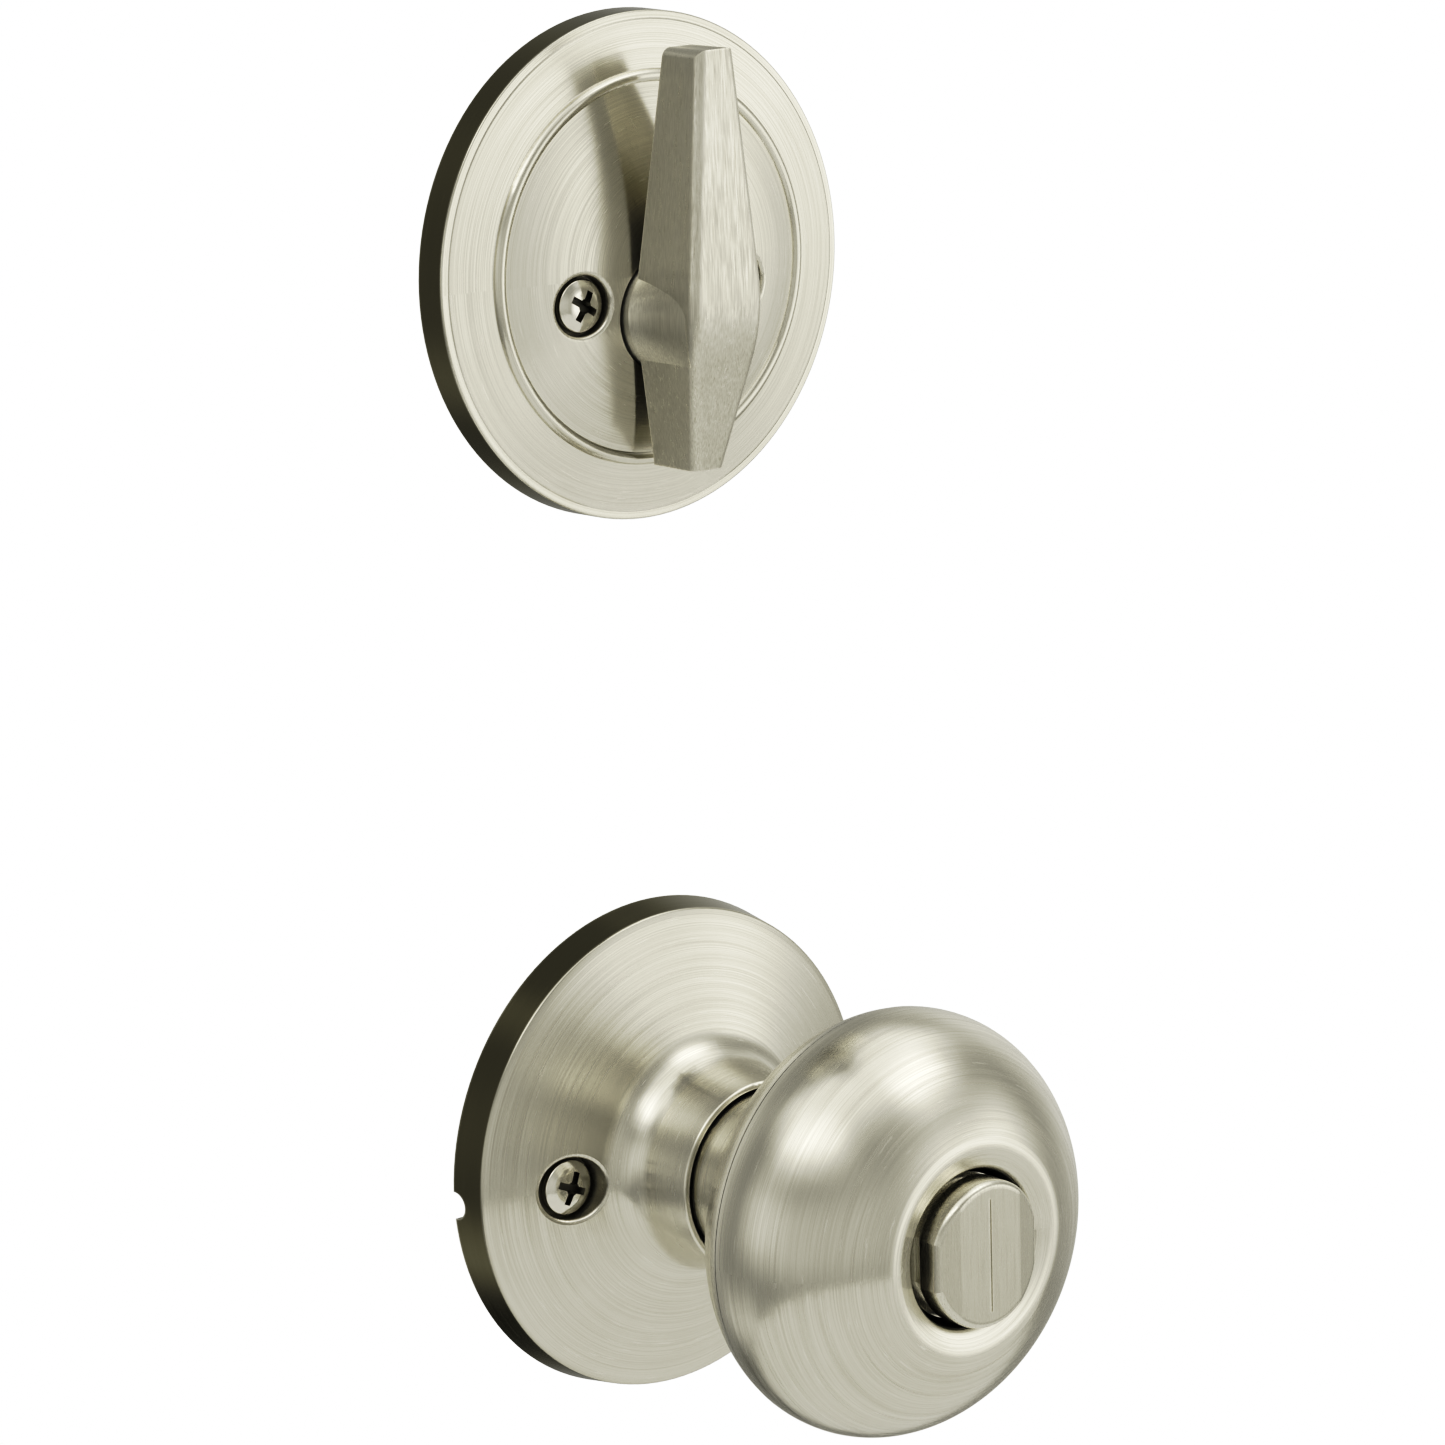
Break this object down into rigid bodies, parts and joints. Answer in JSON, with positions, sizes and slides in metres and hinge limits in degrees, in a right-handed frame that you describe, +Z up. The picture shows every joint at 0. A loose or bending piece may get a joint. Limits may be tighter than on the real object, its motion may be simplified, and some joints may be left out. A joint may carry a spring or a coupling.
{
  "type": "door knob",
  "caption": "Round privacy door knob on a bell rose with a turn button, and the matching deadbolt plate with its thumb turn above.",
  "frame": {"origin": "on the door face, at the knob's axis", "axes": "+Y into the door, so the trim stands out along -Y; +Z up, from the knob to the deadbolt; +X right as seen by a person facing the door"},
  "size_m": [0.068, 0.1029, 0.1881],
  "materials": {
    "rose_nickel": "satin",
    "plate_nickel": "satin",
    "knob_front_nickel": "satin",
    "knob_rear_nickel": "satin",
    "turn_nickel": "satin",
    "button_nickel": "satin",
    "screw_head": "polished",
    "zinc_plate": "zinc plated",
    "cast_insert": "as cast",
    "spring_steel": "oiled",
    "bar_steel": "zinc plated",
    "nylon": "natural"
  },
  "bodies": {
    "trim": {"knob_rose": "rose_nickel", "mounting_plate": "zinc_plate", "spring_housing": "zinc_plate", "bearing_bush": "nylon", "return_spring": "spring_steel", "knob_screws": "screw_head", "deadbolt_plate": "plate_nickel", "deadbolt_backing_plate": "zinc_plate", "turn_bushing": "nylon", "spring_washer": "spring_steel", "deadbolt_screws": "screw_head"},
    "knob": {"knob_rear_shell": "knob_rear_nickel", "knob_front_shell": "knob_front_nickel", "knob_core": "cast_insert", "spring_driver": "bar_steel", "retaining_ring": "spring_steel", "spindle": "bar_steel", "button_guide": "nylon", "friction_washer": "spring_steel"},
    "button": {"turn_button": "button_nickel", "button_clip": "spring_steel", "lock_bar": "bar_steel"},
    "turn": {"thumb_turn": "turn_nickel", "turn_shank": "bar_steel", "turn_clip": "spring_steel"}
  },
  "joints": [
    {"name": "knob_turn", "type": "hinge", "parent": "trim", "child": "knob", "pos_m": [0, 0, 0], "axis": [0, 1, 0], "range_deg": [-55, 55], "stiffness_Nm_per_rad": 0.4, "deforming": ["return_spring"]},
    {"name": "button_turn", "type": "hinge", "parent": "knob", "child": "button", "pos_m": [0, 0, 0], "axis": [0, 1, 0], "range_deg": [0, 90]},
    {"name": "thumb_turn", "type": "hinge", "parent": "trim", "child": "turn", "pos_m": [0, 0, 0.1152], "axis": [0, 1, 0], "range_deg": [0, 90]}
  ]
}
